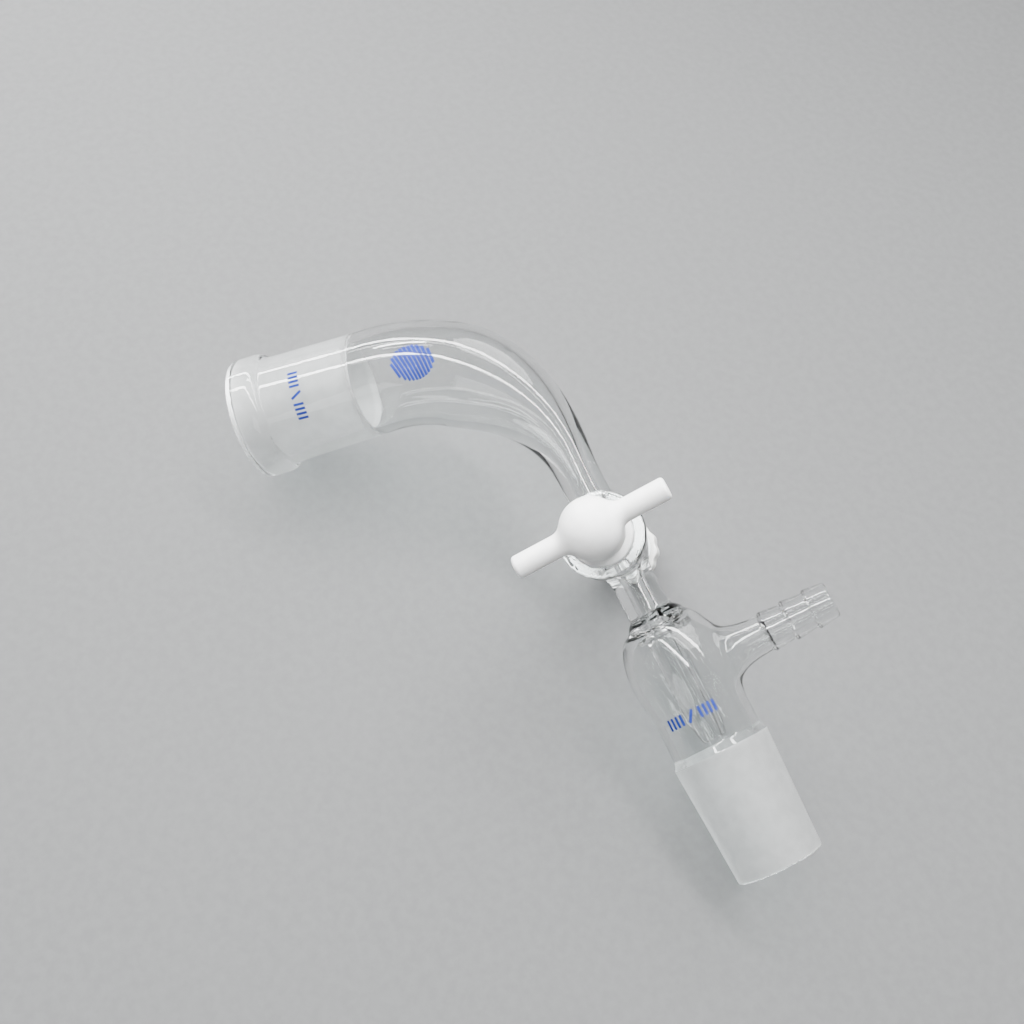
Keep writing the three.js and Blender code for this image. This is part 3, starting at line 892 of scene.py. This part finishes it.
def ptfe():
    """Turned PTFE: bright waxy white, faintly clouded and very finely grained."""
    material, tree, shader = new_material("ptfe")
    cloud = object_noise(tree, 0.25, detail=3.0)
    colour_between(tree, shader, cloud, (0.83, 0.835, 0.83), (0.9, 0.9, 0.895))
    roughness_between(tree, shader, object_noise(tree, 1.5), 0.3, 0.42)
    shader.inputs["Subsurface Weight"].default_value = 0.25
    shader.inputs["Subsurface Radius"].default_value = (1.0, 0.95, 0.9)
    shader.inputs["Subsurface Scale"].default_value = 0.0012
    shader.inputs["IOR"].default_value = 1.38
    add_bump(tree, shader, object_noise(tree, 2.5, detail=4.0), 0.15, 0.00005)
    return material


def nut_plastic():
    """Moulded plastic: off-white and a little translucent."""
    material, tree, shader = new_material("nut_plastic")
    cloud = object_noise(tree, 0.4, detail=2.0)
    colour_between(tree, shader, cloud, (0.76, 0.76, 0.73), (0.84, 0.84, 0.81))
    roughness_between(tree, shader, object_noise(tree, 2.0), 0.35, 0.5)
    shader.inputs["Subsurface Weight"].default_value = 0.2
    shader.inputs["Subsurface Radius"].default_value = (1.0, 0.95, 0.85)
    shader.inputs["Subsurface Scale"].default_value = 0.001
    add_bump(tree, shader, object_noise(tree, 4.0), 0.1, 0.00005)
    return material


def seal_rubber():
    """Black rubber with a dry bloom."""
    material, tree, shader = new_material("seal_rubber")
    bloom = object_noise(tree, 1.2, detail=4.0)
    colour_between(tree, shader, bloom, (0.012, 0.012, 0.013), (0.035, 0.035, 0.037))
    roughness_between(tree, shader, bloom, 0.5, 0.75)
    add_bump(tree, shader, object_noise(tree, 6.0), 0.2, 0.00004)
    return material


def blue_enamel():
    """Fired blue enamel, printed a little unevenly."""
    material, tree, shader = new_material("blue_enamel")
    uneven = object_noise(tree, 2.2, detail=4.0)
    colour_between(tree, shader, uneven, (0.006, 0.016, 0.15), (0.014, 0.036, 0.25))
    roughness_between(tree, shader, uneven, 0.6, 0.8)
    shader.inputs["Specular IOR Level"].default_value = 0.15
    return material


def floor_sheet():
    """A matt dark grey sheet, which renders as light grey under the strong key light."""
    material, tree, shader = new_material("floor_sheet")
    fleck = object_noise(tree, 0.4, detail=5.0)
    colour_between(tree, shader, fleck, (0.098, 0.0995, 0.101), (0.11, 0.1115, 0.113))
    shader.inputs["Roughness"].default_value = 0.85
    return material


CLEAR, FROSTED, PTFE = clear_glass(), ground_glass(), ptfe()
NUT_PLASTIC, RUBBER, ENAMEL = nut_plastic(), seal_rubber(), blue_enamel()


# ---------------------------------------------------------------- glassware
def centreline_point(s):
    """The point at s along the bent tube's centreline, its outward direction and its forward direction."""
    turn = min(max(s / BEND["radius"], 0.0), BEND["angle"])
    outward = np.array([math.cos(turn), math.sin(turn), 0])
    forward = np.array([-outward[1], outward[0], 0])
    centre = np.array([-BEND["radius"], BEND["start_y"], 0]) + BEND["radius"] * outward
    straight = min(s, 0.0) + max(s - ARC_LENGTH, 0.0)
    return centre + straight * forward, outward, forward


def cut_along(cells, plane_point, plane_direction, near, depth=2.0, snap=0.001):
    """Split the faces that cross a plane, so that a finish can end on a clean line."""
    point = Vector(to_bench(plane_point))
    normal = direction_to_bench(plane_direction)
    chosen = []
    for face in cells.faces:
        away = face.calc_center_median() - point
        if away.length < near * MM and abs(away.dot(normal)) < depth * MM:
            chosen.append(face)
    around = {edge for face in chosen for edge in face.edges} | {v for face in chosen for v in face.verts}
    geometry = chosen + list(around)
    bmesh.ops.bisect_plane(cells, geom=geometry, plane_co=point, plane_no=normal, dist=snap * MM)


# How far the ground zones' limits stand off the true surfaces, so that rounding never decides a face
GROUND = {"start": 0.3, "bore_margin": 0.2, "cone_margin": 0.3}


def ground_faces(centres):
    """Which points lie on the ground bore of the socket or on the ground outside of the cone."""
    radius, place = along_centreline(centres)
    ground_start = MOUTH - SOCKET["ground_depth"] + GROUND["start"]
    in_bore = (radius < SOCKET["mouth"] + GROUND["bore_margin"]) & (place > ground_start)
    in_bore &= place < MOUTH - SOCKET["corner"]
    cone_radius = np.hypot(centres[:, 0], centres[:, 2])
    on_cone = (centres[:, 1] < CONE["wide_y"]) & (centres[:, 1] > CONE["tip_y"] + CONE["polish"])
    return in_bore | (on_cone & (cone_radius > CONE["wide"] - CONE["wall"] - GROUND["cone_margin"]))


# Runs of (start, end, step) along X, Y and Z. The grid is finer on the hose connection's ridges.
GLASS_GRID = (
    grid_lines((-86, -26, 0.75), (-26, 14, 0.72), (14, 21, 0.6), (21, 40, 0.3)),
    grid_lines((-86, -57, 0.8), (-57, -17, 0.7), (-17, 14, 0.7), (14, 57, 0.8), (57, 96, 0.75)),
    grid_lines((-18, -14, 0.5), (-14, 14, 0.74), (14, 21, 0.4)),
)


def make_glassware():
    piece = field_piece("glassware", glass, GLASS_GRID, CLEAR, FROSTED)
    cells = bmesh.new()
    cells.from_mesh(piece.data)
    mouth, _, forward = centreline_point(MOUTH)
    for depth in (SOCKET["corner"], SOCKET["ground_depth"] - GROUND["start"]):
        cut_along(cells, mouth - depth * forward, forward, SOCKET["mouth"] + 1)
    for y in (CONE["wide_y"], CONE["tip_y"] + CONE["polish"]):
        cut_along(cells, (0, y, 0), (0, 1, 0), CONE["wide"] + 2)
    cells.faces.ensure_lookup_table()
    centres = np.array([face.calc_center_median() for face in cells.faces])
    ground = ground_faces((centres - ORIGIN) @ AXES.T / MM)
    for face, is_ground in zip(cells.faces, ground):
        face.material_index = int(is_ground)
        face.smooth = True
    cells.to_mesh(piece.data)
    cells.free()
    normals_from(piece, glass)
    return piece


glassware = make_glassware()
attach(glassware, "glass_body")
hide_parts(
    "socket_joint", "bend_tube", "upper_stem", "stopcock_barrel", "lower_stem", "ring_seal",
    "drip_tube", "receiver_bulb", "side_arm_root", "hose_barb", "cone_joint",
)


# ---------------------------------------------------------------- enamel marks
# Plain marks stand where the glass is printed: a hatched spot on the bend, and two rows of short bars
# with a slash between them. Each is a thin layer on the outside of the glass.
LAYER = {"gap": 0.02, "thickness": 0.05, "step": 0.6}
SPOT = {
    "at": (-22.5, 61.3),  # X and Y
    "half_length": 5.6,
    "half_width": 4.6,
    "strokes": 11,
    "stroke_width": 0.75,
    "slant": math.radians(28),
    "outermost": 0.9,  # of the half length
}
BARS = {
    "on_socket": (-52.7, 68.8),  # X and Y
    "on_bulb": (-45.4, -1.6),  # Y and mm round the bulb
    "row": 12.0,
    "height": 2.7,
    "width": 0.65,
    "places": (0, 0.1, 0.2, 0.3, 0.7, 0.8, 0.9, 1),
    "slash_place": 0.5,
    "slash_lean": 0.6,
}


def on_bend(s, across):
    """A place on the bend or socket: s along the centreline, and mm round it from its outermost line."""
    centre, outward, _ = centreline_point(s)
    radius = tube_radius(s)
    if s > MOUTH - SOCKET["ground_depth"]:
        share = (s - MOUTH + SOCKET["ground_depth"]) / (SOCKET["ground_depth"] - SOCKET["collar_length"])
        radius = mix(SOCKET["end"], SOCKET["shank"], min(share, 1))
    turn = across / radius
    normal = math.cos(turn) * outward + math.sin(turn) * np.array([0, 0, 1])
    return centre + radius * normal, normal


def on_bulb(y, across):
    """A place on the lower bulb: its Y, and mm round it from the +Z side towards +X."""
    profile = [(v, u) for u, v in bulb_profile(0)][::-1]
    radius = float(np.interp(y, [v for v, _ in profile], [u for _, u in profile]))
    turn = across / radius
    normal = np.array([math.sin(turn), 0, math.cos(turn)])
    return np.array([0, y, 0]) + radius * normal, normal


def strip(place, start, end, width):
    """A thin bar of enamel from start to end, both (along, across) on the surface that place describes."""
    start, end = np.array(start, float), np.array(end, float)
    length = np.linalg.norm(end - start)
    side = np.array([start[1] - end[1], end[0] - start[0]]) / length * width / 2
    count = max(1, math.ceil(length / LAYER["step"]))
    vertices, faces = [], []
    for i in range(count + 1):
        middle = mix(start, end, i / count)
        for edge in (middle - side, middle + side):
            point, normal = place(*edge)
            vertices.append(point + LAYER["gap"] * normal)
            vertices.append(point + (LAYER["gap"] + LAYER["thickness"]) * normal)
        k = 4 * i
        if i < count:
            faces += [(k, k + 4, k + 5, k + 1), (k + 3, k + 7, k + 6, k + 2)]
            faces += [(k + 1, k + 5, k + 7, k + 3), (k + 2, k + 6, k + 4, k)]
    faces += [(0, 1, 3, 2), (4 * count + 2, 4 * count + 3, 4 * count + 1, 4 * count)]
    return vertices, faces


def gather(strips):
    vertices, faces = [], []
    for strip_vertices, strip_faces in strips:
        first = len(vertices)
        vertices += strip_vertices
        faces += [tuple(first + k for k in face) for face in strip_faces]
    return np.array(vertices), faces


def hatched_spot(place, along, across):
    """Parallel slanting strokes that fill an oval."""
    strips = []
    cosine, sine = math.cos(SPOT["slant"]), math.sin(SPOT["slant"])
    for i in range(SPOT["strokes"]):
        offset = mix(-SPOT["outermost"], SPOT["outermost"], i / (SPOT["strokes"] - 1))
        reach = math.sqrt(1 - offset * offset)
        ends = []
        for side in (-reach, reach):
            lengthwise = (offset * cosine - side * sine) * SPOT["half_length"]
            crosswise = (offset * sine + side * cosine) * SPOT["half_width"]
            ends.append((along + lengthwise, across + crosswise))
        strips.append(strip(place, *ends, SPOT["stroke_width"]))
    return strips


def size_bars(place, along, across):
    """Four bars, a slash, and four bars, in a row round the glass."""
    strips = []
    upright = [(share, 0) for share in BARS["places"]]
    for share, lean in upright + [(BARS["slash_place"], BARS["slash_lean"])]:
        offset = mix(-BARS["row"] / 2, BARS["row"] / 2, share)
        ends = []
        for side in (-0.5, 0.5):
            height = side * BARS["height"]
            ends.append((along + height, across + offset + lean * height))
        strips.append(strip(place, *ends, BARS["width"]))
    return strips


def bend_place(x, y):
    """Where a point of the drawing, on the side that faces +Z, lies on the bend or socket."""
    point = np.array([[x, y, 0.0]])
    _, place = along_centreline(point)
    centre, outward, _ = centreline_point(float(place[0]))
    offset = float((point[0] - centre) @ outward)
    radius = float(np.linalg.norm(on_bend(float(place[0]), 0)[0] - centre))
    return float(place[0]), radius * math.acos(offset / radius)


marks = hatched_spot(on_bend, *bend_place(*SPOT["at"]))
marks += size_bars(on_bend, *bend_place(*BARS["on_socket"]))
marks += size_bars(on_bulb, *BARS["on_bulb"])
enamel = make_piece("enamel_marks", *gather(marks), ENAMEL)
enamel.data.shade_flat()
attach(enamel, "glass_body")


# ---------------------------------------------------------------- plug, handle, seals and nut
def square_grid(low, high, step):
    return tuple(grid_lines((a, b, step)) for a, b in zip(low, high))


LATHE_SIDES = 96
GRID_STEP = {"plug": 0.36, "handle": 0.4, "nut": 0.34}

plug_lines = square_grid((-9, -9, -30), (9, 9, 32), GRID_STEP["plug"])
plug_piece = field_piece("taper_plug", plug, plug_lines, PTFE)
normals_from(plug_piece, plug)
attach(plug_piece, "plug")
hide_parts("stopcock_plug")

half_bar = HANDLE["bar_length"] / 2 + 1
handle_lines = square_grid((-half_bar, -8, 22), (half_bar, 8, 41), GRID_STEP["handle"])
handle_piece = field_piece("crossbar_handle", handle, handle_lines, PTFE)
normals_from(handle_piece, handle)
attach(handle_piece, "plug")
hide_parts("tee_handle")

washer_back = WASHER["front"] - WASHER["thickness"]
washer_outline = rounded([
    (WASHER["bore"], washer_back, WASHER["inner_corner"]),
    (WASHER["radius"], washer_back, WASHER["outer_corner"]),
    (WASHER["radius"], WASHER["front"], WASHER["outer_corner"]),
    (WASHER["bore"], WASHER["front"], WASHER["inner_corner"]),
])
washer_piece = lathe_piece("sealing_washer", washer_outline, LATHE_SIDES, PTFE)
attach(washer_piece, "tail_seals")
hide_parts("tail_washer")

ring_outline = []
for step in range(O_RING["section_sides"]):
    turn = 2 * math.pi * step / O_RING["section_sides"]
    across, up = O_RING["section"] * math.cos(turn), O_RING["section"] * math.sin(turn)
    ring_outline.append((O_RING["middle"] + across, O_RING["middle_z"] + up))
ring_piece = lathe_piece("rubber_ring", ring_outline, LATHE_SIDES, RUBBER)
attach(ring_piece, "tail_seals")
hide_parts("tail_o_ring")

nut_lines = square_grid((-9, -9, -29), (9, 9, -20.5), GRID_STEP["nut"])
nut_piece = field_piece("fluted_nut", nut, nut_lines, NUT_PLASTIC)
normals_from(nut_piece, nut)
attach(nut_piece, "nut")
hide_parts("lock_nut")


# ---------------------------------------------------------------- floor, light and camera
def make_floor(half=4.0):
    mesh = bpy.data.meshes.new("floor")
    corners = [(-half, -half, 0), (half, -half, 0), (half, half, 0), (-half, half, 0)]
    mesh.from_pydata(corners, [], [(0, 1, 2, 3)])
    mesh.materials.append(floor_sheet())
    floor = bpy.data.objects.new("floor", mesh)
    bpy.context.scene.collection.objects.link(floor)


def add_panel(name, position, target, size, power):
    """A soft rectangular light at a bench position, facing a target."""
    light = bpy.data.lights.new(name, "AREA")
    light.shape = "RECTANGLE"
    light.size, light.size_y = size
    light.energy = power
    panel = bpy.data.objects.new(name, light)
    panel.location = position
    panel.rotation_euler = (Vector(target) - Vector(position)).to_track_quat("-Z", "Y").to_euler()
    bpy.context.scene.collection.objects.link(panel)
    return panel


def add_sun(name, towards, strength, softness):
    """An even light over the whole floor, from a direction, as wide as softness degrees of the sky.

    Mirror reflections leave this light out, so it makes no patch on the glass.
    """
    light = bpy.data.lights.new(name, "SUN")
    light.energy = strength
    light.angle = math.radians(softness)
    sun = bpy.data.objects.new(name, light)
    sun.rotation_euler = Vector(towards).to_track_quat("Z", "Y").to_euler()
    sun.visible_glossy = False
    bpy.context.scene.collection.objects.link(sun)


def mirrored_light(point, outward, lean, distance=600.0):
    """Where a light stands, in mm, if glass at a point mirrors it to the camera.

    The glass there faces +Z, leaning outward by so many degrees.
    """
    tip = math.radians(lean)
    normal = math.sin(tip) * outward + math.cos(tip) * np.array([0, 0, 1])
    to_camera = np.array(CAMERA["position"]) - point
    to_camera = to_camera / np.linalg.norm(to_camera)
    return point + distance * (2 * (normal @ to_camera) * normal - to_camera)


def add_strip(name, first, last, lean, power, width=0.03):
    """A long light whose reflection runs along a tube, from the first (point, outward) to the last."""
    start, end = (Vector(to_bench(mirrored_light(*place, lean))) for place in (first, last))
    middle = (start + end) / 2
    long_way = (end - start).normalized()
    backward = middle - Vector(to_bench((first[0] + last[0]) / 2))
    backward = (backward - backward.dot(long_way) * long_way).normalized()
    panel = add_panel(name, middle, middle - backward, ((end - start).length, width), power)
    place = Matrix((long_way, backward.cross(long_way), backward)).transposed().to_4x4()
    place.translation = middle
    panel.matrix_world = place


CAMERA = {
    "position": (27.0, -46.0, 296.2),  # mm in the drawing frame
    "view": (-0.1502, 0.2113, -0.9658),
    "up": (0.4723, 0.8736, 0.1177),
    "lens": 43.14,
    "sensor": 36,
    "nearest": 0.01,  # metres
}


def make_camera():
    data = bpy.data.cameras.new("camera")
    data.lens = CAMERA["lens"]
    data.sensor_width = CAMERA["sensor"]
    data.clip_start = CAMERA["nearest"]
    camera = bpy.data.objects.new("camera", data)
    backward = -direction_to_bench(CAMERA["view"])
    right = direction_to_bench(CAMERA["up"]).cross(backward).normalized()
    up = backward.cross(right)
    place = Matrix((right, up, backward)).transposed().to_4x4()
    place.translation = Vector(to_bench(CAMERA["position"]))
    camera.matrix_world = place
    bpy.context.scene.collection.objects.link(camera)
    bpy.context.scene.camera = camera


def make_world():
    """A dim room, which gives the glass its dark edges. The camera alone sees a brighter backdrop."""
    world = bpy.data.worlds.new("studio")
    world.use_nodes = True
    tree = world.node_tree
    room = tree.nodes["Background"]
    room.inputs["Color"].default_value = (0.86, 0.88, 0.9, 1)
    room.inputs["Strength"].default_value = 0.07
    backdrop = add_node(tree, "Background", Color=(0.97, 0.98, 1, 1), Strength=0.34)
    path = tree.nodes.new("ShaderNodeLightPath")
    mixer = tree.nodes.new("ShaderNodeMixShader")
    tree.links.new(path.outputs["Is Camera Ray"], mixer.inputs[0])
    tree.links.new(room.outputs[0], mixer.inputs[1])
    tree.links.new(backdrop.outputs[0], mixer.inputs[2])
    tree.links.new(mixer.outputs[0], tree.nodes["World Output"].inputs["Surface"])
    bpy.context.scene.world = world


# Where the strips' reflections begin and end: mm along the bend's centreline, and X along the side arm
BEND_REFLECTION = (-70, MOUTH)
ARM_REFLECTION = (5, 45)

make_floor()
make_world()
make_camera()
add_sun("key", towards=(-0.45, 0.5, 0.65), strength=9.0, softness=50)
add_panel("fill", position=(0.5, -0.5, 0.6), target=(0, 0, 0.03), size=(0.5, 0.5), power=2)
bend_ends = [centreline_point(s)[:2] for s in BEND_REFLECTION]
add_strip("outer_strip", *bend_ends, lean=31, power=8)
add_strip("inner_strip", *bend_ends, lean=15, power=8)
arm_ends = [(np.array([x, SIDE_ARM["y"], 0]), np.array([0, 1, 0])) for x in ARM_REFLECTION]
add_strip("arm_strip", *arm_ends, lean=30, power=1.5)
